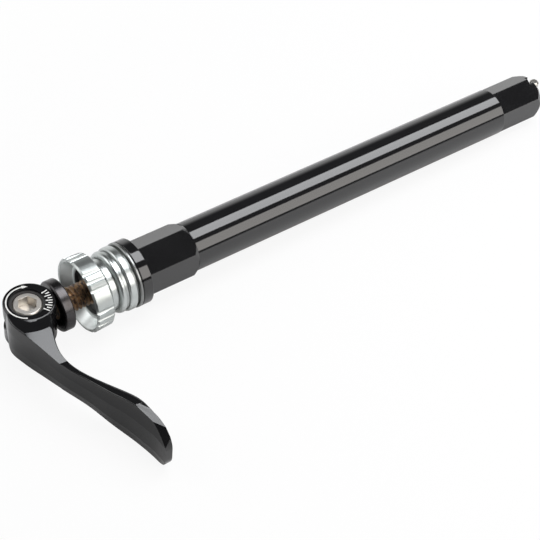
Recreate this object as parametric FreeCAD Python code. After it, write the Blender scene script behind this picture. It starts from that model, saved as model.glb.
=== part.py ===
import FreeCAD, Part
import math
import os

# Quick-release thru axle with two hexagonal ends, a cam lever and an adjusting nut.
# The axle lies along X, with the middle of its journal at the origin. The lever is at the -X end and turns
# about Z. It is drawn closed, so its blade reaches towards -Y. Sizes are in millimetres and degrees.

# Axle tube: driving sizes
journal_diameter = 15.0
journal_length = 117.5
near_hex_across_flats = 14.6
near_hex_length = 17.2
near_hex_chamfer_angle = 30.0
flange_diameter = 19.9
flange_thickness = 3.2
flange_edge = 0.3
spigot_diameter = 11.35
spigot_end_gap = 0.4
far_hex_length = 16.8
far_hex_corner_relief = 0.05
far_hex_end_chamfer = 1.9
far_hex_chamfer_angle = 30.0
far_slot_width = 3.05
far_slot_depth = 1.9
tube_bore = 8.6
guide_length = 13.25

# Thrust washer and collar
washer_thickness = 1.1
washer_diameter = 20.0
washer_edge = 0.3
collar_diameter = 19.6
collar_face_step = 0.8
collar_face_width = 0.8
collar_bead_width = 2.45
collar_groove_width = 0.95
collar_groove_depth = 0.85
collar_length = 8.15
collar_bead_edge = 0.75
collar_nose_diameter = 18.9
collar_nose_width = 1.7
collar_nose_edge = 1.15
collar_neck_diameter = 15.7
collar_neck_edge = 0.3

# Adjusting nut
nut_gap = 1.0
nut_diameter = 22.8
nut_front_diameter = 22.1
nut_width = 5.85
nut_edge = 0.5
nut_bevel = 0.4
cup_mouth_diameter = 21.0
cup_floor_diameter = 16.85
cup_depth = 3.2
cup_mouth_edge = 0.2
well_diameter = 13.85
well_depth = 1.15
neck_diameter = 13.25
neck_length = 4.0
notch_groups = 6
notches_in_group = 3
notch_pitch = 13.0
notch_phase = -31.0
notch_radius = 0.7
notch_depth = 0.55

# Snap ring between nut and collar
ring_thickness = 0.9
ring_inset = 0.8
ring_bite = 0.65
ring_reach = 0.75
ring_gap = 2.25

# Threaded sleeve, cam follower and rod
sleeve_diameter = 7.5
sleeve_length = 32.2
thread_show = 4.75
follower_diameter = 15.35
follower_thickness = 3.2
follower_edge = 0.5
rod_diameter = 5.0
rod_nose_length = 3.05
rod_nose_edge = 0.6
rod_stand_off = 0.4
pin_diameter = 3.0
pin_length = 9.85
pin_edge = 0.5

# Lever, its pivot barrel and bushes
cam_reach = 7.85
cam_stroke = 1.0
cam_turn = 150.0
head_length = 13.25
head_edge = 0.6
heel_radius = 6.65
boss_step = 0.05
barrel_diameter = 8.45
barrel_length = 12.1
barrel_edge = 0.4
socket_across_flats = 5.0
socket_web = 0.6
bush_wall = 0.8
bush_recess = 0.7
tip_reach = 60.4
tip_half_width = 7.85
tip_radius = 6.25
scoop_start = 10.6
scoop_middle = 22.75
scoop_depth = 1.6
blade_edge = 0.5
blade_inner_edge = 1.3
inner_edge_share = 0.45

# Clearances
running_clearance = 0.05
cam_clearance = 0.04
slot_clearance = 0.5

# Blade sections between the lever's head and tip: reach from the pivot along -Y, X of the outer edges,
# X of the inner face, half width along Z, and how far the outer face's middle stands proud of its edges
head_shoulder = head_length / 2 - boss_step
blade_sections = [
    (-1.0, -6.45, 3.8, head_shoulder, 0.2),
    (1.9, -7.2, 4.15, head_shoulder, 0.25),
    (5.7, -7.4, 4.15, head_shoulder, 0.35),
    (10.4, -6.2, 2.25, head_shoulder, 0.4),
    (15.15, -4.85, 0.1, 6.4, 0.45),
    (19.9, -3.65, -0.75, 5.8, 0.55),
    (25.1, -2.2, -0.15, 5.35, 0.65),
    (31.25, 0.1, 2.1, 5.6, 0.75),
    (37.9, 2.2, 5.25, 6.45, 0.85),
    (44.5, 4.55, 7.85, 7.5, 0.95),
    (49.25, 5.9, 8.55, 7.75, 1.05),
    (53.05, 6.7, 8.65, 7.85, 1.05),
    (56.8, 7.15, 8.6, 7.85, 0.95),
    (62.5, 7.55, 8.7, 7.85, 0.85),
]
flat_share = 0.4

# Radii that several pieces share
journal_radius = journal_diameter / 2
spigot_radius = spigot_diameter / 2
sleeve_radius = sleeve_diameter / 2
rod_radius = rod_diameter / 2
neck_radius = neck_diameter / 2
barrel_radius = barrel_diameter / 2
bush_outer_radius = barrel_radius + running_clearance + bush_wall
slot_half = rod_radius + slot_clearance
socket_depth = barrel_length / 2 - rod_radius - socket_web

# Places along the axle, from the journal's two ends outwards
near_shoulder_x = -journal_length / 2
flange_front_x = near_shoulder_x - near_hex_length
flange_back_x = flange_front_x - flange_thickness
collar_front_x = flange_back_x - washer_thickness
collar_back_x = collar_front_x - collar_length
nut_front_x = collar_back_x - nut_gap
nut_back_x = nut_front_x - nut_width
neck_end_x = nut_front_x + neck_length
spigot_end_x = neck_end_x + spigot_end_gap
follower_front_x = nut_back_x - thread_show
follower_back_x = follower_front_x - follower_thickness
pivot_x = follower_back_x - cam_clearance - cam_reach
far_shoulder_x = journal_length / 2
far_end_x = far_shoulder_x + far_hex_length
rod_nose_x = far_end_x + rod_stand_off

ORIGIN = FreeCAD.Vector(0, 0, 0)
X_AXIS = FreeCAD.Vector(1, 0, 0)
Y_AXIS = FreeCAD.Vector(0, 1, 0)
Z_AXIS = FreeCAD.Vector(0, 0, 1)
MARGIN = 1.0


def rounded_wire(corners):
    """Closed wire through (point, size) corners, rounded by a positive size, bevelled by a negative one."""
    edges = []
    last_end = None
    first_start = None
    count = len(corners)
    for i, (corner, size) in enumerate(corners):
        to_last = (corners[i - 1][0] - corner).normalize()
        to_next = (corners[(i + 1) % count][0] - corner).normalize()
        start = end = corner
        cut = None
        if size < 0:
            start = corner - to_last * size
            end = corner - to_next * size
            cut = Part.makeLine(start, end)
        elif size > 0:
            half = to_last.getAngle(to_next) / 2
            start = corner + to_last * (size / math.tan(half))
            end = corner + to_next * (size / math.tan(half))
            middle = corner + (to_last + to_next).normalize() * (size / math.sin(half) - size)
            cut = Part.Arc(start, middle, end).toShape()
        if last_end is not None and last_end.distanceToPoint(start) > 1e-6:
            edges.append(Part.makeLine(last_end, start))
        if cut is not None:
            edges.append(cut)
        if first_start is None:
            first_start = start
        last_end = end
    if last_end.distanceToPoint(first_start) > 1e-6:
        edges.append(Part.makeLine(last_end, first_start))
    return Part.Wire(edges)


def turned(profile):
    """Solid turned about the X axis from (x, radius, corner size) points."""
    corners = [(FreeCAD.Vector(x, 0, radius), size) for x, radius, size in profile]
    return Part.Face(rounded_wire(corners)).revolve(ORIGIN, X_AXIS, 360)


def rod_along_x(radius, start_x, end_x):
    """Round bar on the axle's axis."""
    return Part.makeCylinder(radius, end_x - start_x, FreeCAD.Vector(start_x, 0, 0), X_AXIS)


def hex_bar(apothem, start_x, end_x):
    """Hexagonal bar on the axle's axis, with two corners at +Z and -Z."""
    corner = apothem / math.cos(math.pi / 6)
    points = []
    for i in range(7):
        turn = math.radians(60 * i)
        points.append(FreeCAD.Vector(start_x, corner * math.sin(turn), corner * math.cos(turn)))
    return Part.Face(Part.makePolygon(points)).extrude(X_AXIS * (end_x - start_x))


def make_axle_tube():
    """Tube with a journal between two hexes, a flange and the spigot that the collar slides on."""
    near_apothem = near_hex_across_flats / 2
    near_corner = near_apothem / math.cos(math.pi / 6)
    near_slope = math.tan(math.radians(near_hex_chamfer_angle))
    near_blank = turned([
        (flange_back_x, 0, 0),
        (flange_back_x, near_corner + MARGIN, 0),
        (near_shoulder_x - (near_corner + MARGIN - journal_radius) / near_slope, near_corner + MARGIN, 0),
        (near_shoulder_x, journal_radius, 0),
        (near_shoulder_x, 0, 0),
    ])
    near_hex = hex_bar(near_apothem, flange_back_x, near_shoulder_x).common(near_blank)

    far_corner = journal_radius - far_hex_corner_relief
    far_drop = far_hex_end_chamfer * math.tan(math.radians(far_hex_chamfer_angle))
    far_blank = turned([
        (far_shoulder_x, 0, 0),
        (far_shoulder_x, journal_radius, 0),
        (far_end_x - far_hex_end_chamfer, far_corner, 0),
        (far_end_x, far_corner - far_drop, 0),
        (far_end_x, 0, 0),
    ])
    far_hex = hex_bar(far_corner * math.cos(math.pi / 6), far_shoulder_x, far_end_x).common(far_blank)

    flange = turned([
        (flange_back_x, 0, 0),
        (flange_back_x, flange_diameter / 2, flange_edge),
        (flange_front_x, flange_diameter / 2, flange_edge),
        (flange_front_x, 0, 0),
    ])
    tube = rod_along_x(journal_radius, near_shoulder_x, far_shoulder_x)
    tube = tube.fuse([near_hex, far_hex, flange, rod_along_x(spigot_radius, spigot_end_x, flange_back_x)])
    tube = tube.removeSplitter()
    tube = tube.cut(rod_along_x(tube_bore / 2, spigot_end_x - MARGIN, far_end_x - guide_length))
    tube = tube.cut(rod_along_x(rod_radius + running_clearance, 0, far_end_x + MARGIN))
    slot_corner = FreeCAD.Vector(far_end_x - far_slot_depth, -far_slot_width / 2, -journal_diameter)
    return tube.cut(Part.makeBox(far_slot_depth + MARGIN, far_slot_width, 2 * journal_diameter, slot_corner))


def make_thrust_washer():
    """Plain washer between the flange and the collar."""
    bore = spigot_radius + running_clearance
    return turned([
        (collar_front_x, bore, 0),
        (collar_front_x, washer_diameter / 2, -washer_edge),
        (flange_back_x, washer_diameter / 2, -washer_edge),
        (flange_back_x, bore, 0),
    ])


def ring_span():
    """X of the snap ring's two faces, the one nearer the flange last."""
    ring_back_x = neck_end_x - ring_inset - ring_thickness
    return ring_back_x, ring_back_x + ring_thickness


def make_thrust_collar():
    """Collar with two beads, bored for the spigot, the nut's neck and the snap ring."""
    outer = collar_diameter / 2
    low = outer - collar_groove_depth
    nose = collar_nose_diameter / 2
    bead_x = collar_front_x - collar_face_width
    groove_x = bead_x - collar_bead_width
    nose_x = groove_x - collar_groove_width
    nose_end_x = nose_x - collar_nose_width
    bore = spigot_radius + running_clearance
    neck_bore = neck_radius + running_clearance
    neck_floor_x = neck_end_x + running_clearance
    body = turned([
        (collar_front_x, bore, 0),
        (collar_front_x, outer - collar_face_step, 0),
        (bead_x, outer - collar_face_step, 0),
        (bead_x, outer, collar_bead_edge / 2),
        (groove_x, outer, collar_bead_edge),
        (groove_x, low, 0),
        (nose_x, low, 0),
        (nose_x, nose, collar_bead_edge / 2),
        (nose_end_x, nose, collar_nose_edge),
        (nose_end_x, collar_neck_diameter / 2, 0),
        (collar_back_x, collar_neck_diameter / 2, -collar_neck_edge),
        (collar_back_x, neck_bore, 0),
        (neck_floor_x, neck_bore, 0),
        (neck_floor_x, bore, 0),
    ])
    back_x, front_x = ring_span()
    return body.cut(rod_along_x(neck_radius + ring_reach, back_x, front_x))


def make_swivel_ring():
    """Split snap ring that holds the nut's neck in the collar and lets it turn."""
    back_x, front_x = ring_span()
    ring = rod_along_x(neck_radius + ring_reach, back_x, front_x)
    ring = ring.cut(rod_along_x(neck_radius - ring_bite, back_x - MARGIN, front_x + MARGIN))
    corner = FreeCAD.Vector(back_x - MARGIN, -ring_gap / 2, -neck_diameter)
    return ring.cut(Part.makeBox(ring_thickness + 2 * MARGIN, ring_gap, neck_diameter, corner))


def make_adjusting_nut():
    """Notched nut with a tapered cup towards the lever and a grooved neck in the collar."""
    rim = nut_diameter / 2
    bore = sleeve_radius + running_clearance
    cup_floor_x = nut_back_x + cup_depth
    well_floor_x = cup_floor_x + well_depth
    ring_back_x, ring_front_x = ring_span()
    groove = neck_radius - ring_bite - running_clearance
    nut = turned([
        (neck_end_x, bore, 0),
        (well_floor_x, bore, 0),
        (well_floor_x, well_diameter / 2, 0),
        (cup_floor_x, well_diameter / 2, 0),
        (cup_floor_x, cup_floor_diameter / 2, 0),
        (nut_back_x, cup_mouth_diameter / 2, -cup_mouth_edge),
        (nut_back_x, rim, -nut_edge),
        (nut_front_x, nut_front_diameter / 2, -nut_bevel),
        (nut_front_x, neck_radius, 0),
        (ring_back_x - running_clearance, neck_radius, 0),
        (ring_back_x - running_clearance, groove, 0),
        (ring_front_x + running_clearance, groove, 0),
        (ring_front_x + running_clearance, neck_radius, 0),
        (neck_end_x, neck_radius, 0),
    ])
    notch_centre = rim + notch_radius - notch_depth
    notches = []
    for group in range(notch_groups):
        for place in range(notches_in_group):
            step = place - (notches_in_group - 1) / 2
            turn = math.radians(notch_phase + group * 360 / notch_groups + step * notch_pitch)
            start = FreeCAD.Vector(
                nut_back_x - MARGIN, -notch_centre * math.sin(turn), notch_centre * math.cos(turn))
            notches.append(Part.makeCylinder(notch_radius, nut_width + 2 * MARGIN, start, X_AXIS))
    return nut.cut(notches)


def make_cam_follower():
    """Round block that the lever's cam presses on, bored for the sleeve."""
    radius = follower_diameter / 2
    return turned([
        (follower_back_x, sleeve_radius, 0),
        (follower_back_x, radius, follower_edge),
        (follower_front_x, radius, follower_edge),
        (follower_front_x, sleeve_radius, 0),
    ])


def make_thread_sleeve():
    """Sleeve that is pressed into the follower and carries the nut, drawn at its thread's outer size."""
    sleeve = rod_along_x(sleeve_radius, follower_back_x, follower_back_x + sleeve_length)
    bore = rod_along_x(rod_radius + running_clearance, follower_back_x - MARGIN, far_end_x)
    return sleeve.cut(bore)


def make_lock_pin():
    """Cross pin at the rod's far end, upright while the lever is as drawn."""
    bottom = FreeCAD.Vector(rod_nose_x + pin_diameter / 2, 0, -pin_length / 2)
    pin = Part.makeCylinder(pin_diameter / 2, pin_length, bottom, Z_AXIS)
    return pin.makeChamfer(pin_edge, [edge for edge in pin.Edges if edge.Curve.TypeId == "Part::GeomCircle"])


def make_tension_rod(lock_pin):
    """Rod from the pivot barrel through the sleeve and the tube to the nose that holds the cross pin."""
    rod = turned([
        (pivot_x - rod_radius, 0, 0),
        (pivot_x - rod_radius, rod_radius, 0),
        (rod_nose_x + rod_nose_length, rod_radius, rod_nose_edge),
        (rod_nose_x + rod_nose_length, 0, 0),
    ])
    return rod.cut(lock_pin)


def make_pivot_barrel(tension_rod):
    """Barrel that the lever turns on, with a hexagonal socket on top and a cross hole for the rod."""
    bottom = FreeCAD.Vector(pivot_x, 0, -barrel_length / 2)
    barrel = Part.makeCylinder(barrel_radius, barrel_length, bottom, Z_AXIS)
    barrel = barrel.makeChamfer(
        barrel_edge, [edge for edge in barrel.Edges if edge.Curve.TypeId == "Part::GeomCircle"])
    corner = socket_across_flats / 2 / math.cos(math.pi / 6)
    points = []
    for i in range(7):
        turn = math.radians(60 * i)
        points.append(FreeCAD.Vector(
            pivot_x + corner * math.cos(turn), corner * math.sin(turn), barrel_length / 2 - socket_depth))
    socket = Part.Face(Part.makePolygon(points)).extrude(Z_AXIS * (socket_depth + MARGIN))
    return barrel.cut(socket).cut(tension_rod)


def make_pivot_bush(side):
    """Bush in one of the lever's cheeks, above the rod slot where side is 1 and below it where side is -1."""
    height = head_length / 2 - bush_recess - slot_half
    base = FreeCAD.Vector(pivot_x, 0, side * slot_half)
    outer = Part.makeCylinder(bush_outer_radius, height, base, Z_AXIS * side)
    return outer.cut(Part.makeCylinder(barrel_radius + running_clearance, height, base, Z_AXIS * side))


def cam_normal(turn):
    """Direction from the pivot to the follower, in the lever's frame, after a turn in radians."""
    return FreeCAD.Vector(math.cos(turn), math.sin(turn), 0)


def cam_point(turn):
    """Point of the cam that touches the follower after the lever has turned by an angle in radians.

    The follower's face is flat, so the cam's distance from the pivot falls evenly with the lever's turn.
    """
    fall = cam_stroke / math.radians(cam_turn)
    reach = cam_reach - fall * turn
    along = Z_AXIS.cross(cam_normal(turn))
    return FreeCAD.Vector(pivot_x, 0, -head_length / 2) + cam_normal(turn) * reach - along * fall


def arc_about(centre, start, end):
    """Arc of under half a turn from one point to another about a centre."""
    outward = ((start - centre).normalize() + (end - centre).normalize()).normalize()
    return Part.Arc(start, centre + outward * centre.distanceToPoint(start), end).toShape()


def make_head():
    """Lever's head: the cam on the follower's side, closed by a back and a heel that meet it smoothly."""
    last_turn = math.radians(cam_turn)
    steps = 20
    cam_points = [cam_point(last_turn * i / steps) for i in range(steps + 1)]
    cam = Part.BSplineCurve()
    cam.interpolate(cam_points)
    first, last = cam_points[0], cam_points[-1]
    heel_centre = first - X_AXIS * heel_radius
    inward = cam_normal(last_turn) * -1
    offset = last - heel_centre
    back_radius = (heel_radius ** 2 - offset.dot(offset)) / (2 * (offset.dot(inward) + heel_radius))
    back_centre = last + inward * back_radius
    meeting = back_centre + (heel_centre - back_centre).normalize() * back_radius
    outline = Part.Wire([
        cam.toShape(),
        arc_about(back_centre, last, meeting),
        arc_about(heel_centre, meeting, first),
    ])
    head = Part.Face(outline).extrude(Z_AXIS * head_length)
    rims = [edge for edge in head.Edges if edge.BoundBox.ZLength < 1e-6]
    return head.makeFillet(head_edge, rims)


def blade_wire(reach, outer, inner, half_width, proud):
    """Section of the blade across its reach: a flat and two bevels outside, a plain face inside."""
    flat = half_width * flat_share
    inner_edge = min(blade_inner_edge, (inner - outer) * inner_edge_share)
    outline = [
        (outer - proud, flat, 0),
        (outer, half_width, blade_edge),
        (inner, half_width, inner_edge),
        (inner, -half_width, inner_edge),
        (outer, -half_width, blade_edge),
        (outer - proud, -flat, 0),
    ]
    return rounded_wire([(FreeCAD.Vector(pivot_x + x, -reach, z), rounding) for x, z, rounding in outline])


def make_rod_slot():
    """Space that the rod sweeps through in the head as the lever turns."""
    long = 2 * head_length
    sweep = Part.makeCylinder(long, 2 * slot_half, FreeCAD.Vector(pivot_x, 0, -slot_half), Z_AXIS, cam_turn)
    pivot = FreeCAD.Vector(pivot_x, 0, 0)
    turns = (0, math.radians(cam_turn))
    ends = [Part.makeCylinder(slot_half, long, pivot, cam_normal(turn)) for turn in turns]
    return sweep.fuse(ends)


def make_scoop(side):
    """Shallow groove about the pivot that thins the lever's neck, above where side is 1, below where -1."""
    top = head_length / 2
    spread = (scoop_depth + MARGIN) * (scoop_middle - scoop_start) / scoop_depth
    points = [
        FreeCAD.Vector(pivot_x + scoop_middle - spread, 0, side * (top + MARGIN)),
        FreeCAD.Vector(pivot_x + scoop_middle, 0, side * (top - scoop_depth)),
        FreeCAD.Vector(pivot_x + scoop_middle + spread, 0, side * (top + MARGIN)),
    ]
    section = Part.Face(Part.makePolygon(points + points[:1]))
    return section.revolve(FreeCAD.Vector(pivot_x, 0, 0), Z_AXIS, 360)


def make_lever():
    """Cam head and blade in one forging, with the pivot's bore and the slot that the rod swings through."""
    blade = Part.makeLoft([blade_wire(*section) for section in blade_sections], True, False, False, 3)
    wide = 2 * tip_reach
    trim_start = pivot_x - wide / 2
    trim = Part.Face(rounded_wire([
        (FreeCAD.Vector(trim_start, 0, tip_half_width + MARGIN), 0),
        (FreeCAD.Vector(trim_start, tip_radius - tip_reach, tip_half_width + MARGIN), 0),
        (FreeCAD.Vector(trim_start, tip_radius - tip_reach, tip_half_width), 0),
        (FreeCAD.Vector(trim_start, -tip_reach, tip_half_width), tip_radius),
        (FreeCAD.Vector(trim_start, -tip_reach, -tip_half_width), tip_radius),
        (FreeCAD.Vector(trim_start, tip_radius - tip_reach, -tip_half_width), 0),
        (FreeCAD.Vector(trim_start, tip_radius - tip_reach, -tip_half_width - MARGIN), 0),
        (FreeCAD.Vector(trim_start, 0, -tip_half_width - MARGIN), 0),
    ])).extrude(X_AXIS * wide)
    blade = blade.common(trim).cut([make_scoop(1), make_scoop(-1)])
    lever = make_head().fuse(blade)
    bore_bottom = FreeCAD.Vector(pivot_x, 0, -head_length)
    lever = lever.cut(Part.makeCylinder(bush_outer_radius, 2 * head_length, bore_bottom, Z_AXIS))
    return lever.cut(make_rod_slot())


def main():
    """Builds every piece and writes each to a file of its own."""
    os.makedirs("parts", exist_ok=True)
    lock_pin = make_lock_pin()
    tension_rod = make_tension_rod(lock_pin)
    pieces = {
        "axle_tube": make_axle_tube(),
        "thrust_washer": make_thrust_washer(),
        "thrust_collar": make_thrust_collar(),
        "swivel_ring": make_swivel_ring(),
        "adjusting_nut": make_adjusting_nut(),
        "cam_follower": make_cam_follower(),
        "thread_sleeve": make_thread_sleeve(),
        "tension_rod": tension_rod,
        "lock_pin": lock_pin,
        "pivot_barrel": make_pivot_barrel(tension_rod),
        "pivot_bush_upper": make_pivot_bush(1),
        "pivot_bush_lower": make_pivot_bush(-1),
        "lever": make_lever(),
    }
    for name, shape in pieces.items():
        shape.exportStep(f"parts/{name}.step")
        print(name, "solids", len(shape.Solids), "valid", shape.isValid(), "volume", round(shape.Volume, 2))


main()
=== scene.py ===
import logging
import math
from dataclasses import dataclass
from enum import Enum
from typing import Any, Dict, List, Optional, Sequence, Tuple, Union

import bmesh
import bpy
from mathutils import Matrix, Vector


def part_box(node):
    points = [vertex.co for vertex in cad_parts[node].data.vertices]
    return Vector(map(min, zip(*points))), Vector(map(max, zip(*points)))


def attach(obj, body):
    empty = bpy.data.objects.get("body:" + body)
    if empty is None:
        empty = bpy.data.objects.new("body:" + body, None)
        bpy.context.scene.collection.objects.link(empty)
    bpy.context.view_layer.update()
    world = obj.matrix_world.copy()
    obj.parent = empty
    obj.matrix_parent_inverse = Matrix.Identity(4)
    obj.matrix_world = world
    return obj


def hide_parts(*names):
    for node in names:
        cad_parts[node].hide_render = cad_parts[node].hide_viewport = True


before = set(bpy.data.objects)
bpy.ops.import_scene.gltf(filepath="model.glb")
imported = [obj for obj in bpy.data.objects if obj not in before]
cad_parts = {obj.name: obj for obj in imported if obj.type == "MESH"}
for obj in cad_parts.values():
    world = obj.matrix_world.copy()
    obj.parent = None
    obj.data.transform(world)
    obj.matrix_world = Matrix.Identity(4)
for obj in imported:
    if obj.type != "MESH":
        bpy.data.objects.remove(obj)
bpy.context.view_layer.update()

LOG = logging.getLogger("thru_axle")
MM = 0.001
# Rays that feel for edges and grooves round a point.
PROBE_RAYS = 4
# Sockets of a Mix node that is set to colours.
MIX_SHARE, MIX_FIRST, MIX_SECOND, MIX_RESULT = 0, 6, 7, 2
WHITE = (1.0, 1.0, 1.0)
Colour = Tuple[float, float, float]
Point = Tuple[float, float, float]
Step = Tuple[float, float]
Face = Tuple[int, ...]
Inputs = Dict[Union[str, int], Any]
Value = Union["Wire", float]


class Wire:
    """One value in a shader: a node's socket with Python's arithmetic."""

    def __init__(self, shader: "Shader", socket: bpy.types.NodeSocket) -> None:
        """Wraps a socket of the shader's tree."""
        self.shader = shader
        self.socket = socket

    def math(self, operation: str, *values: Value) -> "Wire":
        """Adds a Math node to the tree.

        Args:
            operation: the Math node's operation.
            values: what goes into the node's sockets, in order.

        Returns:
            The node's result.
        """
        node = self.shader.node("ShaderNodeMath", {"operation": operation}, dict(enumerate(values)))
        return self.shader.out(node)

    def __add__(self, other: Value) -> "Wire":
        """Sum."""
        return self.math("ADD", self, other)

    __radd__ = __add__

    def __sub__(self, other: Value) -> "Wire":
        """Difference."""
        return self.math("SUBTRACT", self, other)

    def __rsub__(self, other: Value) -> "Wire":
        """Difference from a number."""
        return self.math("SUBTRACT", other, self)

    def __mul__(self, other: Value) -> "Wire":
        """Product."""
        return self.math("MULTIPLY", self, other)

    __rmul__ = __mul__

    def __truediv__(self, other: Value) -> "Wire":
        """Quotient."""
        return self.math("DIVIDE", self, other)

    def __rtruediv__(self, other: Value) -> "Wire":
        """Quotient of a number by the value."""
        return self.math("DIVIDE", other, self)

    def __pow__(self, other: Value) -> "Wire":
        """Power."""
        return self.math("POWER", self, other)

    def __rpow__(self, other: Value) -> "Wire":
        """Power of a number to the value."""
        return self.math("POWER", other, self)

    def ramp(self, low: float, high: float) -> "Wire":
        """Smooth step of the value.

        Args:
            low: where the step is 0. It may be above high, which turns the step round.
            high: where the step is 1.

        Returns:
            The step, from 0 to 1.
        """
        bottom, top, start, end = (low, high, 0.0, 1.0) if low < high else (high, low, 1.0, 0.0)
        node = self.shader.node(
            "ShaderNodeMapRange",
            {"interpolation_type": "SMOOTHSTEP"},
            {"Value": self, "From Min": bottom, "From Max": top, "To Min": start, "To Max": end},
        )
        return self.shader.out(node)


@dataclass(frozen=True)
class Pattern:
    """A soft noise: its waves in a millimetre, its finer octaves and their weight."""

    scale: float
    detail: float
    weight: float


class Shader:
    """A node tree that is filled by expressions."""

    def __init__(self, tree: bpy.types.NodeTree) -> None:
        """Empties a tree and takes it over."""
        self.tree = tree
        self.tree.nodes.clear()

    def node(
        self,
        kind: str,
        settings: Optional[Dict[str, Any]] = None,
        inputs: Optional[Inputs] = None,
    ) -> bpy.types.Node:
        """Adds a node.

        Args:
            kind: the node's Blender type.
            settings: the node's own properties, which are set first.
            inputs: values or wires for its sockets, by name or index.

        Returns:
            The new node.
        """
        node = self.tree.nodes.new(kind)
        for name, value in (settings or {}).items():
            setattr(node, name, value)
        for name, value in (inputs or {}).items():
            if isinstance(value, Wire):
                self.tree.links.new(value.socket, node.inputs[name])
            else:
                node.inputs[name].default_value = value
        return node

    def out(self, node: bpy.types.Node, socket: Union[str, int] = 0) -> Wire:
        """One of a node's results."""
        return Wire(self, node.outputs[socket])

    def place(self) -> Wire:
        """Point on the surface.

        Returns:
            The point in millimetres, in the axle's frame.
        """
        point = self.out(self.node("ShaderNodeTexCoord"), "Object")
        scaled = self.node("ShaderNodeVectorMath", {"operation": "SCALE"}, {0: point, "Scale": 1.0 / MM})
        return self.out(scaled)

    def split(self, vector: Wire) -> Tuple[Wire, Wire, Wire]:
        """X, Y and Z of a vector."""
        node = self.node("ShaderNodeSeparateXYZ", inputs={0: vector})
        return self.out(node, 0), self.out(node, 1), self.out(node, 2)

    def join(self, x: Value, y: Value, z: Value) -> Wire:
        """Vector from its X, Y and Z."""
        return self.out(self.node("ShaderNodeCombineXYZ", inputs={0: x, 1: y, 2: z}))

    def about_axis(self, place: Wire) -> Tuple[Wire, Wire]:
        """Place along the axle's axis, and distance from the axis."""
        x, y, z = self.split(place)
        return x, (y * y + z * z) ** 0.5

    def noise(self, vector: Wire, pattern: Pattern) -> Wire:
        """Soft noise from 0 to 1.

        Args:
            vector: where it is read, in millimetres.
            pattern: how it looks.

        Returns:
            The noise.
        """
        inputs: Inputs = {"Vector": vector, "Scale": pattern.scale}
        inputs.update({"Detail": pattern.detail, "Roughness": pattern.weight})
        return self.out(self.node("ShaderNodeTexNoise", inputs=inputs))

    def mix(self, share: Value, first: Union[Wire, Colour], second: Union[Wire, Colour]) -> Wire:
        """Colour between two colours.

        Args:
            share: how much of the second colour shows, from 0 to 1.
            first: colour at 0.
            second: colour at 1.

        Returns:
            The mixed colour.
        """
        start, end = (c if isinstance(c, Wire) else (*c, 1.0) for c in (first, second))
        inputs: Inputs = {MIX_SHARE: share, MIX_FIRST: start, MIX_SECOND: end}
        return self.out(self.node("ShaderNodeMix", {"data_type": "RGBA"}, inputs), MIX_RESULT)

    def edge(self, radius: float) -> Tuple[Wire, Wire]:
        """Looks for edges within a radius.

        Args:
            radius: how far round a point to look, in millimetres.

        Returns:
            The normal rounded over the edges, and how far it turns from the plain one, 0 away from edges.
        """
        rounded = self.out(self.node("ShaderNodeBevel", {"samples": PROBE_RAYS}, {"Radius": radius * MM}))
        plain = self.out(self.node("ShaderNodeNewGeometry"), "Normal")
        dot = self.node("ShaderNodeVectorMath", {"operation": "DOT_PRODUCT"}, {0: rounded, 1: plain})
        return rounded, 1.0 - self.out(dot, "Value")

    def recess(self, reach: float) -> Wire:
        """How shut in a point is within a reach in millimetres: 0 in the open, towards 1 in grooves."""
        node = self.node("ShaderNodeAmbientOcclusion", {"samples": PROBE_RAYS}, {"Distance": reach * MM})
        return 1.0 - self.out(node, "AO")

    def bump(self, height: Wire, depth: float, strength: float, normal: Optional[Wire] = None) -> Wire:
        """Normal bent by a height.

        Args:
            height: relief from 0 to 1.
            depth: what a height of 1 stands for, in millimetres.
            strength: share of the bending that is used.
            normal: normal to start from.

        Returns:
            The bent normal.
        """
        inputs: Inputs = {"Height": height, "Distance": depth * MM, "Strength": strength}
        if normal is not None:
            inputs["Normal"] = normal
        return self.out(self.node("ShaderNodeBump", inputs=inputs))

    def surface(self, inputs: Inputs) -> None:
        """Ends the tree in a Principled shader with these sockets."""
        shader = self.out(self.node("ShaderNodeBsdfPrincipled", inputs=inputs))
        self.node("ShaderNodeOutputMaterial", inputs={"Surface": shader})


def new_material(name: str) -> Tuple[bpy.types.Material, Shader]:
    """Makes an empty material.

    Args:
        name: the material's name.

    Returns:
        The material and the shader that fills it.
    """
    material = bpy.data.materials.new(name)
    material.use_nodes = True
    return material, Shader(material.node_tree)


def tint(colour: Colour, share: float) -> Colour:
    """Colour made lighter or darker by a share."""
    red, green, blue = colour
    return (red * share, green * share, blue * share)


class Grain(Enum):
    """How a surface was worked."""

    TURNED = "turned"
    BLASTED = "blasted"


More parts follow.
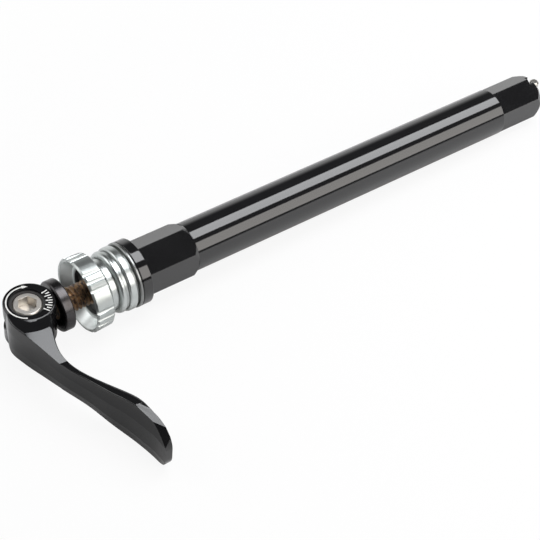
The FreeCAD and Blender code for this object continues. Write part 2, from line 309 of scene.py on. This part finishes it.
@dataclass(frozen=True)
class BlackAnodised:
    """Black anodised aluminium: a dark dyed skin that shows the tool's marks and wears on its edges."""

    name: str
    base: Colour = (0.0065, 0.0065, 0.007)
    worn: Colour = (0.06, 0.06, 0.062)
    roughness: float = 0.045
    ior: float = 1.7
    grain: Grain = Grain.TURNED
    edge_radius: float = 0.25
    wear: float = 0.6
    dimples: Pattern = Pattern(9.0, 3.0, 0.6)
    tool_rings: Pattern = Pattern(5.0, 3.0, 0.65)
    clouds: Pattern = Pattern(0.11, 3.0, 0.55)
    specks: Pattern = Pattern(1.7, 4.0, 0.7)
    worn_edge: Step = (0.015, 0.16)
    worn_specks: Step = (0.42, 0.66)
    dusty_clouds: Step = (0.35, 0.75)
    dust_share: float = 0.35
    dust_tint: float = 1.7
    cloud_roughness: float = 0.03
    relief_roughness: float = 0.02
    wear_roughness: float = 0.08
    relief_depth: float = 0.004
    relief_strength: float = 0.12

    def relief(self, shader: Shader, place: Wire) -> Wire:
        """Height of the tool's marks.

        Args:
            shader: tree to fill.
            place: point on the surface.

        Returns:
            Rings for turned work, fine dimples for blasted work.
        """
        if self.grain is Grain.BLASTED:
            return shader.noise(place, self.dimples)
        x, radius = shader.about_axis(place)
        return shader.noise(shader.join(x, radius, 0.0), self.tool_rings)

    def material(self) -> bpy.types.Material:
        """Makes the finish.

        Returns:
            The new material.
        """
        material, shader = new_material(self.name)
        place = shader.place()
        normal, edge = shader.edge(self.edge_radius)
        relief = self.relief(shader, place)
        cloud = shader.noise(place, self.clouds)
        specks = shader.noise(place, self.specks)
        wear = edge.ramp(*self.worn_edge) * specks.ramp(*self.worn_specks) * self.wear
        dust = cloud.ramp(*self.dusty_clouds) * self.dust_share
        skin = shader.mix(dust, self.base, tint(self.base, self.dust_tint))
        roughness = self.roughness + cloud * self.cloud_roughness + relief * self.relief_roughness
        shader.surface({
            "Base Color": shader.mix(wear, skin, self.worn),
            "Roughness": roughness + wear * self.wear_roughness,
            "IOR": self.ior,
            "Normal": shader.bump(relief, self.relief_depth, self.relief_strength, normal),
        })
        return material


@dataclass(frozen=True)
class PlatedSteel:
    """Plated or bare steel, turned, with stains, painted shade in its grooves, for a cup a painted light on
    its wall and painted shade at its bottom, and a soft wave in its mirror.
    """

    name: str
    base: Colour
    stain: Colour
    roughness: float
    stain_share: float = 0.5
    # Painted shade: colour of the darkening in grooves, recesses and a cup's bottom, with the share, step and
    # reach that find the grooves.
    painted_shade: Colour = (0.05, 0.05, 0.047)
    painted_shade_share: float = 0.7
    painted_shade_step: Step = (0.25, 0.8)
    groove_reach: float = 0.9
    # Painted light: a lighter colour on a cup's wall within a radius, and how softly it begins.
    cup_light: Optional[Colour] = None
    cup_light_radius: float = 0.0
    cup_light_blend: float = 0.3
    # Painted shade: a cup's bottom darkens towards the thread, by this radius, blend and share.
    cup_shade_radius: float = 0.0
    cup_shade_blend: Step = (0.4, -0.6)
    cup_shade_share: float = 0.85
    edge_radius: float = 0.15
    tool_rings: Pattern = Pattern(4.0, 3.0, 0.6)
    waves: Pattern = Pattern(0.35, 2.0, 0.5)
    stains: Pattern = Pattern(0.3, 3.0, 0.5)
    stain_step: Step = (0.4, 0.75)
    stain_roughness: float = 0.04
    ring_roughness: float = 0.04
    rubbed_edge: Step = (0.02, 0.2)
    rubbed_gloss: float = 0.04
    ring_height: float = 0.35
    wave_height: float = 1.2
    relief_depth: float = 0.004
    relief_strength: float = 0.5

    def cup_light_and_shade(self, shader: Shader, colour: Wire, radius: Wire) -> Wire:
        """Colour of a cup that is lighter within a radius as painted light on its wall, and darker towards
        the thread as painted shade at its bottom.

        Args:
            shader: tree to fill.
            colour: colour of the outside.
            radius: distance from the axle's axis.

        Returns:
            The colour of the cup and the rest of the piece, which is the outside's alone for a piece with no
            cup.
        """
        if self.cup_light is None:
            return colour
        # Painted light on the cup's wall.
        within = radius.ramp(self.cup_light_radius + self.cup_light_blend, self.cup_light_radius - self.cup_light_blend)
        # Painted shade at the cup's bottom, towards the thread.
        outer, inner = self.cup_shade_blend
        cup_shade = radius.ramp(self.cup_shade_radius + outer, self.cup_shade_radius + inner) * self.cup_shade_share
        return shader.mix(cup_shade, shader.mix(within, colour, self.cup_light), self.painted_shade)

    def material(self) -> bpy.types.Material:
        """Makes the finish.

        Returns:
            The new material.
        """
        material, shader = new_material(self.name)
        place = shader.place()
        x, radius = shader.about_axis(place)
        normal, edge = shader.edge(self.edge_radius)
        rings = shader.noise(shader.join(x, radius, 0.0), self.tool_rings)
        wave = shader.noise(place, self.waves)
        stains = shader.noise(place, self.stains).ramp(*self.stain_step)
        # Painted shade: darker in grooves and recesses that ambient occlusion finds shut in.
        shaded_grooves = shader.recess(self.groove_reach).ramp(*self.painted_shade_step) * self.painted_shade_share
        stained = shader.mix(stains * self.stain_share, self.base, self.stain)
        dull = stains * self.stain_roughness + rings * self.ring_roughness
        relief = rings * self.ring_height + wave * self.wave_height
        shader.surface({
            "Base Color": shader.mix(shaded_grooves, self.cup_light_and_shade(shader, stained, radius), self.painted_shade),
            "Roughness": self.roughness + dull - edge.ramp(*self.rubbed_edge) * self.rubbed_gloss,
            "Metallic": 1.0,
            "Normal": shader.bump(relief, self.relief_depth, self.relief_strength, normal),
        })
        return material


@dataclass(frozen=True)
class GreasedThread:
    """Bronze thread under brown grease."""

    name: str
    bronze: Colour = (0.40, 0.255, 0.145)
    grease: Colour = (0.052, 0.031, 0.021)
    blobs: Pattern = Pattern(0.55, 4.0, 0.6)
    film_step: Step = (0.38, 0.62)
    bare_metal: float = 0.9
    hidden_metal: float = 0.75
    roughness: float = 0.28
    film_roughness: float = 0.12
    blob_depth: float = 0.08
    blob_strength: float = 0.4

    def material(self) -> bpy.types.Material:
        """Makes the finish.

        Returns:
            The new material.
        """
        material, shader = new_material(self.name)
        blobs = shader.noise(shader.place(), self.blobs)
        film = blobs.ramp(*self.film_step)
        shader.surface({
            "Base Color": shader.mix(film, self.bronze, self.grease),
            "Metallic": self.bare_metal - film * self.hidden_metal,
            "Roughness": self.roughness + film * self.film_roughness,
            "Normal": shader.bump(blobs, self.blob_depth, self.blob_strength),
        })
        return material


@dataclass(frozen=True)
class Polymer:
    """Moulded bush polymer."""

    name: str
    base: Colour = (0.02, 0.019, 0.018)
    pale_tint: float = 2.2
    pale_edge: Step = (0.02, 0.2)
    pale_share: float = 0.5
    edge_radius: float = 0.12
    grain: Pattern = Pattern(6.0, 3.0, 0.6)
    roughness: float = 0.42
    grain_roughness: float = 0.16
    grain_depth: float = 0.01
    grain_strength: float = 0.4

    def material(self) -> bpy.types.Material:
        """Makes the finish.

        Returns:
            The new material.
        """
        material, shader = new_material(self.name)
        grain = shader.noise(shader.place(), self.grain)
        normal, edge = shader.edge(self.edge_radius)
        pale = (grain + edge.ramp(*self.pale_edge)) * self.pale_share
        shader.surface({
            "Base Color": shader.mix(pale, self.base, tint(self.base, self.pale_tint)),
            "Roughness": self.roughness + grain * self.grain_roughness,
            "Normal": shader.bump(grain, self.grain_depth, self.grain_strength, normal),
        })
        return material


@dataclass(frozen=True)
class PrintedInk:
    """White pad-printed ink."""

    name: str
    base: Colour = (0.72, 0.72, 0.70)
    thin: Colour = (0.45, 0.45, 0.44)
    patches: Pattern = Pattern(1.6, 4.0, 0.65)
    thin_step: Step = (0.45, 0.75)
    roughness: float = 0.45
    patch_roughness: float = 0.2
    patch_depth: float = 0.005
    patch_strength: float = 0.3

    def material(self) -> bpy.types.Material:
        """Makes the finish.

        Returns:
            The new material.
        """
        material, shader = new_material(self.name)
        patches = shader.noise(shader.place(), self.patches)
        shader.surface({
            "Base Color": shader.mix(patches.ramp(*self.thin_step), self.base, self.thin),
            "Roughness": self.roughness + patches * self.patch_roughness,
            "Normal": shader.bump(patches, self.patch_depth, self.patch_strength),
        })
        return material


def dress(node: str, material: bpy.types.Material) -> None:
    """Gives a CAD node its finish.

    Args:
        node: the node's name.
        material: its finish.
    """
    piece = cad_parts[node]
    piece.data.materials.clear()
    piece.data.materials.append(material)
    LOG.info("%s wears %s", node, material.name)


def add_object(name: str, data: bpy.types.ID) -> bpy.types.Object:
    """Puts a mesh, a lamp or a camera in the scene.

    Args:
        name: the object's name.
        data: what the object holds.

    Returns:
        The new object.
    """
    thing = bpy.data.objects.new(name, data)
    bpy.context.scene.collection.objects.link(thing)
    return thing


def add_piece(mesh: bpy.types.Mesh, body: str, material: bpy.types.Material) -> bpy.types.Object:
    """Puts a mesh in the scene as a piece that rides on a body.

    Args:
        mesh: the mesh, whose name the piece takes.
        body: CAD body that carries the piece.
        material: its finish.

    Returns:
        The new piece.
    """
    mesh.materials.append(material)
    piece = add_object(mesh.name, mesh)
    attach(piece, body)
    LOG.info("%s rides on %s with %d faces", mesh.name, body, len(mesh.polygons))
    return piece


def new_mesh(name: str, points: Sequence[Point], faces: Sequence[Face], smooth: bool) -> bpy.types.Mesh:
    """Makes a mesh.

    Args:
        name: the mesh's name.
        points: corners in millimetres, in the axle's frame.
        faces: corner numbers of each face.
        smooth: whether its faces are shaded smoothly.

    Returns:
        The new mesh.
    """
    mesh = bpy.data.meshes.new(name)
    mesh.from_pydata([Vector(p) * MM for p in points], [], [list(f) for f in faces])
    mesh.update()
    mesh.polygons.foreach_set("use_smooth", [smooth] * len(mesh.polygons))
    return mesh


def ring_faces(rings: int, segments: int, closed: bool = False) -> List[Face]:
    """Faces of a skin through rings of points.

    Args:
        rings: how many rings there are.
        segments: points in a ring.
        closed: whether the last ring meets the first.

    Returns:
        Four corner numbers a face.
    """
    faces: List[Face] = []
    for i in range(rings if closed else rings - 1):
        k = (i + 1) % rings
        for j in range(segments):
            n = (j + 1) % segments
            faces.append((i * segments + j, k * segments + j, k * segments + n, i * segments + n))
    return faces


@dataclass
class AxleTube:
    """The black tube and the washer behind its flange."""

    anodised: BlackAnodised = BlackAnodised("tube_black_anodised")
    zinc: PlatedSteel = PlatedSteel("washer_zinc", (0.28, 0.29, 0.285), (0.18, 0.185, 0.18), 0.26)

    def build(self) -> None:
        """Dresses the tube and the washer."""
        dress("axle_tube", self.anodised.material())
        dress("thrust_washer", self.zinc.material())


@dataclass
class AdjusterGroup:
    """The collar, its snap ring and the notched nut."""

    # The collar's grooves get painted shade.
    collar_zinc: PlatedSteel = PlatedSteel(
        "collar_zinc", (0.58, 0.61, 0.60), (0.47, 0.495, 0.485), 0.26,
        painted_shade_share=0.9, painted_shade_step=(0.1, 0.5),
    )
    # The nut gets painted shade in its grooves, a painted light on its cup's wall and painted shade at the
    # cup's bottom.
    nut_zinc: PlatedSteel = PlatedSteel(
        "nut_zinc", (0.50, 0.53, 0.52), (0.40, 0.425, 0.415), 0.29,
        painted_shade_share=0.5, cup_light=(0.76, 0.79, 0.78), cup_light_radius=10.4, cup_shade_radius=7.6,
    )
    spring: PlatedSteel = PlatedSteel("ring_spring_steel", (0.22, 0.22, 0.23), (0.10, 0.09, 0.08), 0.32)

    def build(self) -> None:
        """Dresses the collar, the ring and the nut."""
        dress("thrust_collar", self.collar_zinc.material())
        dress("swivel_ring", self.spring.material())
        dress("adjusting_nut", self.nut_zinc.material())


@dataclass
class FollowerGroup:
    """The block under the cam and the threaded sleeve in it, in millimetres."""

    thread_pitch: float = 1.25
    thread_depth: float = 0.62
    crest_share: float = 0.14
    root_share: float = 0.20
    run_out: float = 1.6
    end_share: float = 0.1
    steps_per_pitch: int = 14
    segments: int = 72
    wall_inset: float = 0.02
    bore_clearance: float = 0.05
    dark: PlatedSteel = PlatedSteel("follower_dark_steel", (0.075, 0.072, 0.074), (0.055, 0.045, 0.041), 0.24)
    thread: GreasedThread = GreasedThread("sleeve_greased_bronze")

    def thread_height(self, turn: float) -> float:
        """Share of the thread's depth at a place in its pitch.

        Args:
            turn: place along the pitch, in whole pitches.

        Returns:
            1 on the crest, 0 in the root.
        """
        away = abs((turn + 0.5) % 1.0 - 0.5)
        crest, root = self.crest_share / 2, 0.5 - self.root_share / 2
        return min(1.0, max(0.0, (root - away) / (root - crest)))

    def ring_point(self, x: float, radius: float, number: int) -> Point:
        """One point of a ring about the axle's axis."""
        angle = 2 * math.pi * number / self.segments
        return (x, radius * math.sin(angle), radius * math.cos(angle))

    def sleeve(self, material: bpy.types.Material) -> None:
        """Makes the threaded sleeve, which stands for the plain sleeve of the CAD model.

        Args:
            material: its finish.
        """
        low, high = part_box("thread_sleeve")
        start, end, crest = low.x / MM, high.x / MM, high.z / MM - self.wall_inset
        thread_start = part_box("cam_follower")[1].x / MM
        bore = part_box("tension_rod")[1].z / MM + self.bore_clearance
        rings = int((end - start) / self.thread_pitch * self.steps_per_pitch)
        points: List[Point] = []
        for i in range(rings + 1):
            x = start + (end - start) * i / rings
            run_in = max(0.0, (x - thread_start) / self.run_out)
            run_out = max(0.0, (end - x) / self.run_out + self.end_share)
            depth = self.thread_depth * min(1.0, run_in, run_out)
            for j in range(self.segments):
                height = self.thread_height(x / self.thread_pitch + j / self.segments)
                points.append(self.ring_point(x, crest - depth * (1.0 - height), j))
        for x in (end, start):
            points += [self.ring_point(x, bore, j) for j in range(self.segments)]
        faces = ring_faces(len(points) // self.segments, self.segments, closed=True)
        piece = add_piece(new_mesh("threaded_sleeve", points, faces, smooth=True), "follower", material)
        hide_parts("thread_sleeve")

    def build(self) -> None:
        """Dresses the follower and makes the threaded sleeve."""
        dress("cam_follower", self.dark.material())
        self.sleeve(self.thread.material())


@dataclass
class DrawRod:
    """The rod, its cross pin and the barrel that the lever turns on."""

    rod: PlatedSteel = PlatedSteel("rod_plain_steel", (0.50, 0.49, 0.46), (0.25, 0.22, 0.18), 0.28)
    # The barrel's grooves get painted shade in a pale brown.
    barrel: PlatedSteel = PlatedSteel(
        "barrel_turned_steel", (0.74, 0.71, 0.66), (0.60, 0.545, 0.48), 0.32, painted_shade=(0.56, 0.50, 0.43)
    )

    def build(self) -> None:
        """Dresses the rod, the pin and the barrel."""
        steel = self.rod.material()
        dress("tension_rod", steel)
        dress("lock_pin", steel)
        dress("pivot_barrel", self.barrel.material())


@dataclass
class LeverGroup:
    """The lever, its bushes and the printed marks on its head, in millimetres and degrees."""

    anodised: BlackAnodised = BlackAnodised(
        "lever_black_anodised", (0.006, 0.006, 0.0065), (0.05, 0.05, 0.053),
        roughness=0.07, ior=1.57, grain=Grain.BLASTED, edge_radius=0.08, wear=0.3,
    )
    polymer: Polymer = Polymer("bush_polymer")
    ink: PrintedInk = PrintedInk("mark_white_ink")
    face_height: float = 6.625
    arc_radius: float = 5.87
    arc_width: float = 0.40
    arc_start: float = -118.0
    arc_end: float = -300.0
    arc_steps: int = 64
    arrow_length: float = 16.0
    arrow_width: float = 1.05
    arrow_steps: int = 6
    arrow_point: float = 0.02
    tick_start: float = -58.0
    tick_end: float = 10.0
    tick_count: int = 9
    tick_foot: float = 6.95
    tick_width: float = 0.36
    tick_long: float = 1.9
    tick_short: float = 1.2
    ink_rise: float = 0.012
    ink_sink: float = 0.02
    weld_gap: float = 0.001
    cut_gap: float = 0.0001
    crease_angle: float = 24.0
    flat_crease: float = 4.0
    flat_cosine: float = 0.98
    outer_cosine: float = 0.8
    tip_flats: Tuple[Tuple[Point, Point], ...] = (
        ((-105.7, -47.2, 7.66), (-0.03, -0.098, 0.995)),
        ((-104.2, -54.3, 6.9), (-0.55, -0.4, 0.73)),
    )

    def face_point(self, radius: float, degrees: float, rise: float) -> Point:
        """Point on the head's upper face.

        Args:
            radius: distance from the pivot.
            degrees: turn about the pivot from +X towards +Y.
            rise: height over the face.

        Returns:
            The point in millimetres.
        """
        low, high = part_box("pivot_barrel")
        angle = math.radians(degrees)
        x = (low.x + high.x) / 2 / MM + radius * math.cos(angle)
        return (x, radius * math.sin(angle), self.face_height + rise)

    def arc_mark(self) -> Tuple[List[Point], List[Face]]:
        """Arc with an arrowhead that shows which way the lever opens.

        Returns:
            Its points and faces.
        """
        shaft_end = self.arc_end + self.arrow_length
        stations: List[Tuple[float, float]] = []
        for i in range(self.arc_steps + 1):
            degrees = self.arc_start + (shaft_end - self.arc_start) * i / self.arc_steps
            stations.append((degrees, self.arc_width / 2))
        for i in range(self.arrow_steps + 1):
            share = i / self.arrow_steps
            half = self.arrow_width / 2 * (1.0 - share) + self.arrow_point
            stations.append((shaft_end - self.arrow_length * share, half))
        points: List[Point] = []
        for degrees, half in stations:
            inner, outer = self.arc_radius - half, self.arc_radius + half
            points.append(self.face_point(inner, degrees, -self.ink_sink))
            points.append(self.face_point(inner, degrees, self.ink_rise))
            points.append(self.face_point(outer, degrees, self.ink_rise))
            points.append(self.face_point(outer, degrees, -self.ink_sink))
        faces = ring_faces(len(stations), 4)
        last = len(points) - 4
        faces += [(0, 1, 2, 3), (last + 3, last + 2, last + 1, last)]
        return points, faces

    def tick(self, degrees: float, length: float) -> Tuple[List[Point], List[Face]]:
        """One index tick, which points at the pivot.

        Args:
            degrees: where it stands about the pivot.
            length: how far it reaches inwards.

        Returns:
            Its points and faces.
        """
        tip = self.tick_foot - length
        half = self.tick_width / 2
        points: List[Point] = []
        for rise in (-self.ink_sink, self.ink_rise):
            for radius, side in ((tip, half), (self.tick_foot, half), (self.tick_foot, -half), (tip, -half)):
                turn = math.degrees(math.asin(side / radius))
                points.append(self.face_point(radius, degrees + turn, rise))
        faces = ring_faces(2, 4)
        faces += [(0, 1, 2, 3), (7, 6, 5, 4)]
        return points, faces

    def marks(self) -> None:
        """Prints the arc and a row of index ticks, long and short in turn, on the head."""
        points, faces = self.arc_mark()
        for i in range(self.tick_count):
            degrees = self.tick_start + (self.tick_end - self.tick_start) * i / (self.tick_count - 1)
            more_points, more_faces = self.tick(degrees, self.tick_short if i % 2 else self.tick_long)
            faces += [tuple(n + len(points) for n in f) for f in more_faces]
            points += more_points
        add_piece(new_mesh("opening_marks", points, faces, smooth=False), "lever", self.ink.material())

    def is_crease(self, edge: bmesh.types.BMEdge) -> bool:
        """Whether an edge of the lever is sharp.

        Args:
            edge: the edge between two faces.

        Returns:
            True for a steep edge, and for a shallow one on the upper, lower or outer side.
        """
        if len(edge.link_faces) != 2:
            return True
        first, second = (face.normal for face in edge.link_faces)
        flat = min(abs(first.z), abs(second.z)) > self.flat_cosine
        outer = max(first.x, second.x) < -self.outer_cosine
        limit = self.flat_crease if flat or outer else self.crease_angle
        return first.angle(second) > math.radians(limit)

    def grind_tip(self, work: bmesh.types.BMesh) -> None:
        """Cuts the flats on the lever's tip.

        Args:
            work: the lever's mesh.
        """
        for place, normal in self.tip_flats:
            cut = bmesh.ops.bisect_plane(
                work,
                geom=work.verts[:] + work.edges[:] + work.faces[:],
                dist=self.cut_gap * MM,
                plane_co=Vector(place) * MM,
                plane_no=Vector(normal),
                clear_outer=True,
            )
            rim = [e for e in cut["geom_cut"] if isinstance(e, bmesh.types.BMEdge)]
            bmesh.ops.edgeloop_fill(work, edges=rim)

    def forging(self, material: bpy.types.Material) -> None:
        """Makes the lever with the flats on its tip, which stands for the lever of the CAD model.

        Args:
            material: its finish.
        """
        work = bmesh.new()
        work.from_mesh(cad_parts["lever"].data)
        bmesh.ops.remove_doubles(work, verts=work.verts[:], dist=self.weld_gap * MM)
        self.grind_tip(work)
        bmesh.ops.recalc_face_normals(work, faces=work.faces[:])
        for face in work.faces:
            face.smooth = True
        for edge in work.edges:
            edge.smooth = not self.is_crease(edge)
        mesh = bpy.data.meshes.new("lever_forging")
        work.to_mesh(mesh)
        work.free()
        piece = add_piece(mesh, "lever", material)
        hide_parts("lever")

    def build(self) -> None:
        """Makes the lever, dresses its bushes and prints the marks."""
        self.forging(self.anodised.material())
        bush = self.polymer.material()
        dress("pivot_bush_upper", bush)
        dress("pivot_bush_lower", bush)
        self.marks()


@dataclass(frozen=True)
class SoftLamp:
    """A rectangular soft lamp, in metres."""

    name: str
    place: Point
    aim: Point
    length: float
    width: float
    radiance: float
    colour: Colour
    steep: float = 0.9

    def build(self) -> None:
        """Hangs the lamp, with its length level."""
        lamp = bpy.data.lights.new(self.name, "AREA")
        lamp.shape = "RECTANGLE"
        lamp.size, lamp.size_y = self.length, self.width
        lamp.energy = self.radiance * math.pi * self.length * self.width
        lamp.color = self.colour
        back = (Vector(self.place) - Vector(self.aim)).normalized()
        upright = Vector((0.0, 1.0, 0.0)) if abs(back.z) > self.steep else Vector((0.0, 0.0, 1.0))
        across = upright.cross(back).normalized()
        turn = Matrix((across, back.cross(across), back)).transposed().to_4x4()
        add_object(self.name, lamp).matrix_world = Matrix.Translation(Vector(self.place)) @ turn


@dataclass(frozen=True)
class FloorOval:
    """An oval on the floor, in millimetres."""

    centre_x: float
    centre_y: float
    half_x: float
    half_y: float

    def outwards(self, shader: Shader, place: Wire) -> Wire:
        """How far out a place lies, squared: 0 in the oval's middle and 1 on its rim."""
        x, y, _ = shader.split(place)
        return ((x - self.centre_x) / self.half_x) ** 2.0 + ((y - self.centre_y) / self.half_y) ** 2.0


@dataclass
class Studio:
    """Floor, lamps, room and camera, in metres, with the floor's height in millimetres."""

    lamps: Tuple[SoftLamp, ...] = (
        SoftLamp("upper_strip", (0.28, 0.006, 0.6), (0.28, 0.006, 0.0), 0.86, 0.388, 5.0, (0.97, 0.98, 1.0)),
        SoftLamp("front_strip", (0.25, -0.508, 0.33), (0.25, 0.0, 0.0), 0.80, 0.43, 2.9, (1.0, 0.965, 0.93)),
        SoftLamp("neck_fill", (0.075, 0.232, 0.61), (0.075, 0.232, 0.0), 0.13, 0.065, 5.8, (0.95, 0.97, 1.0)),
        SoftLamp("back_card", (-0.53, 0.46, 0.49), (-0.10, 0.0, 0.0), 0.50, 0.50, 2.0, WHITE),
    )
    floor_height: float = -9.18
    floor_rise_x: float = 0.02344
    floor_rise_y: float = -0.06818
    floor_reach: float = 6.0
    near_floor: FloorOval = FloorOval(-20.0, -20.0, 200.0, 160.0)
    open_step: Step = (0.6, 1.4)
    near_seen: float = 0.9
    near_mirrored: float = 0.1
    # Painted shadow: the oval under the lever where the paper that the metal mirrors is darker, its step and
    # its colour.
    lever_shadow_oval: FloorOval = FloorOval(-116.0, -26.0, 22.0, 30.0)
    lever_shadow_step: Step = (1.5, 0.4)
    painted_lever_shadow: Colour = (0.36, 0.36, 0.36)
    paper: Tuple[Colour, Colour] = ((0.70, 0.70, 0.70), (0.74, 0.74, 0.74))
    fibres: Pattern = Pattern(0.8, 3.0, 0.6)
    dark_room: Colour = (0.055, 0.056, 0.058)
    pale_wall: Colour = (0.95, 0.95, 0.95)
    wall_top: Step = (0.5, 0.08)
    wall_side: Step = (-0.1, 0.4)
    wall_turn: float = 0.5
    eye: Point = (-0.24886, -0.26855, 0.33787)
    target: Point = (-0.04289, -0.02027, 0.0)
    roll: float = 5.867
    lens: float = 107.53
    sensor: float = 36.0
    clip: Tuple[float, float] = (0.01, 50.0)

    def floor_material(self) -> bpy.types.Material:
        """Makes white paper that stays white to the eye and in the metal, keeps the shadow near the axle, and
        shows the metal a painted shadow under the lever.

        Returns:
            The new material.
        """
        material, shader = new_material("floor_paper")
        path = shader.node("ShaderNodeLightPath")
        seen = shader.out(path, "Is Camera Ray") + shader.out(path, "Is Transmission Ray")
        mirrored = shader.out(path, "Is Glossy Ray")
        place = shader.place()
        far = (self.near_floor.outwards(shader, place) ** 0.5).ramp(*self.open_step)
        seen_white = self.near_seen + far * (1.0 - self.near_seen)
        mirrored_white = self.near_mirrored + far * (1.0 - self.near_mirrored)
        share = seen * seen_white + mirrored * mirrored_white
        # Painted shadow: the paper that the metal mirrors is darker in the oval under the lever.
        shaded = mirrored * self.lever_shadow_oval.outwards(shader, place).ramp(*self.lever_shadow_step)
        sheet = shader.mix(shader.noise(place, self.fibres), *self.paper)
        colour = shader.mix(shaded, sheet, self.painted_lever_shadow)
        matt: Inputs = {"Base Color": colour, "Roughness": 1.0, "Specular IOR Level": 0.0}
        paper = shader.out(shader.node("ShaderNodeBsdfPrincipled", inputs=matt))
        glow = shader.out(shader.node("ShaderNodeEmission", inputs={"Color": (*WHITE, 1.0), "Strength": 1.0}))
        both = shader.out(shader.node("ShaderNodeMixShader", inputs={0: share, 1: paper, 2: glow}))
        shader.node("ShaderNodeOutputMaterial", inputs={"Surface": both})
        return material

    def floor(self) -> None:
        """Lays the floor that the nut, the far end and the lever's tip lie on."""
        reach = self.floor_reach
        corners: List[Point] = []
        for x, y in ((-reach, -reach), (reach, -reach), (reach, reach), (-reach, reach)):
            corners.append((x, y, self.floor_height * MM + self.floor_rise_x * x + self.floor_rise_y * y))
        mesh = bpy.data.meshes.new("floor")
        mesh.from_pydata(corners, [], [(0, 1, 2, 3)])
        mesh.materials.append(self.floor_material())
        add_object("floor", mesh)

    def room(self) -> None:
        """Makes a dark room with a pale wall behind the axle and beside its lever, white to the eye alone."""
        world = bpy.data.worlds.new("studio")
        bpy.context.scene.world = world
        world.use_nodes = True
        shader = Shader(world.node_tree)
        across, behind, up = shader.split(shader.out(shader.node("ShaderNodeTexCoord"), "Generated"))
        wall = up.ramp(*self.wall_top) * (behind - across * self.wall_turn).ramp(*self.wall_side)
        mirrored = shader.mix(wall, self.dark_room, self.pale_wall)
        seen = shader.out(shader.node("ShaderNodeLightPath"), "Is Camera Ray")
        colour = shader.mix(seen, mirrored, WHITE)
        back = shader.node("ShaderNodeBackground", inputs={"Color": colour, "Strength": 1.0})
        shader.node("ShaderNodeOutputWorld", inputs={"Surface": shader.out(back)})

    def camera(self) -> None:
        """Sets the camera at the photograph's viewing angle."""
        camera = bpy.data.cameras.new("camera")
        camera.lens = self.lens
        camera.sensor_width = self.sensor
        camera.clip_start, camera.clip_end = self.clip
        aim = (Vector(self.target) - Vector(self.eye)).to_track_quat("-Z", "Y").to_matrix().to_4x4()
        roll = Matrix.Rotation(math.radians(self.roll), 4, "Z")
        holder = add_object("camera", camera)
        holder.matrix_world = Matrix.Translation(Vector(self.eye)) @ aim @ roll
        bpy.context.scene.camera = holder

    def build(self) -> None:
        """Sets the studio up."""
        self.floor()
        self.room()
        for lamp in self.lamps:
            lamp.build()
        self.camera()
        bpy.context.scene.view_settings.view_transform = "Standard"
        LOG.info("studio is set")


def main() -> None:
    """Builds the axle's groups in order and sets the studio round them."""
    logging.basicConfig(level=logging.INFO, format="%(name)s: %(message)s")
    for group in (AxleTube(), AdjusterGroup(), FollowerGroup(), DrawRod(), LeverGroup(), Studio()):
        group.build()


if __name__ == "__main__":
    main()
